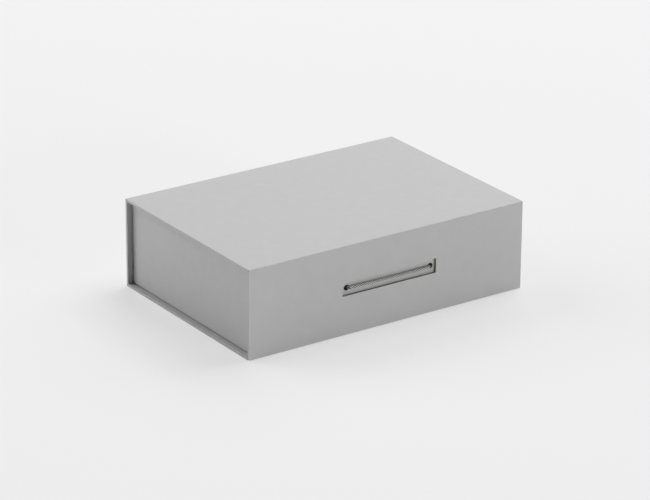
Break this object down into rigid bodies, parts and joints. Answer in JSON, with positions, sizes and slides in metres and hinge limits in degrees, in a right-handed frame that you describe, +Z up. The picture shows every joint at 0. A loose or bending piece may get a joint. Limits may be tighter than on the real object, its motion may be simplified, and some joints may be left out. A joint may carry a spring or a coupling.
{
  "type": "magnetic rigid gift box",
  "caption": "Book-style rigid gift box: a wrapped board case folds round a fixed tray, with a magnetic front flap and a rope handle that shows through the flap's window.",
  "frame": {"origin": "middle of the closed case's footprint, on its underside", "axes": "+X to the right along the front, +Y from the flap to the spine, +Z up"},
  "size_m": [0.33, 0.2289, 0.0955],
  "materials": {
    "greyboard": "raw recycled board, matt",
    "wrap_paper": "light grey embossed wrap paper, matt",
    "lining_paper": "light grey uncoated lining paper, matt",
    "stay_tape": "gummed kraft tape",
    "mounting_tape": "white double-sided tape",
    "magnet": "nickel-plated disc",
    "rope": "grey four-strand twisted cord"
  },
  "bodies": {
    "base": {"bottom_board": "greyboard", "bottom_wrap": "wrap_paper", "bottom_lining": "lining_paper", "spine_board": "greyboard", "spine_wrap": "wrap_paper", "spine_lining": "lining_paper", "tray_mounting_tape": "mounting_tape", "tray_floor_board": "greyboard", "tray_front_board": "greyboard", "tray_rear_board": "greyboard", "tray_left_board": "greyboard", "tray_right_board": "greyboard", "tray_magnets": "magnet", "tray_corner_tapes": "stay_tape", "tray_wrap": "wrap_paper", "tray_wall_lining": "lining_paper", "tray_floor_lining": "lining_paper"},
    "lid": {"lid_board": "greyboard", "lid_wrap": "wrap_paper", "lid_lining": "lining_paper"},
    "flap": {"flap_board": "greyboard", "flap_wrap": "wrap_paper", "flap_lining": "lining_paper", "flap_magnets": "magnet"},
    "handle": {"handle_rope": "rope"}
  },
  "joints": [
    {"name": "lid_hinge", "type": "hinge", "parent": "base", "child": "lid", "pos_m": [0, 0.114, 0.0955], "axis": [-1, 0, 0], "range_deg": [0, 180]},
    {"name": "flap_hinge", "type": "hinge", "parent": "lid", "child": "flap", "pos_m": [0, -0.114, 0.0955], "axis": [-1, 0, 0], "range_deg": [0, 110]},
    {"name": "handle_slide", "type": "slide", "parent": "base", "child": "handle", "axis": [0, -1, 0], "range_m": [0, 0.026]}
  ]
}
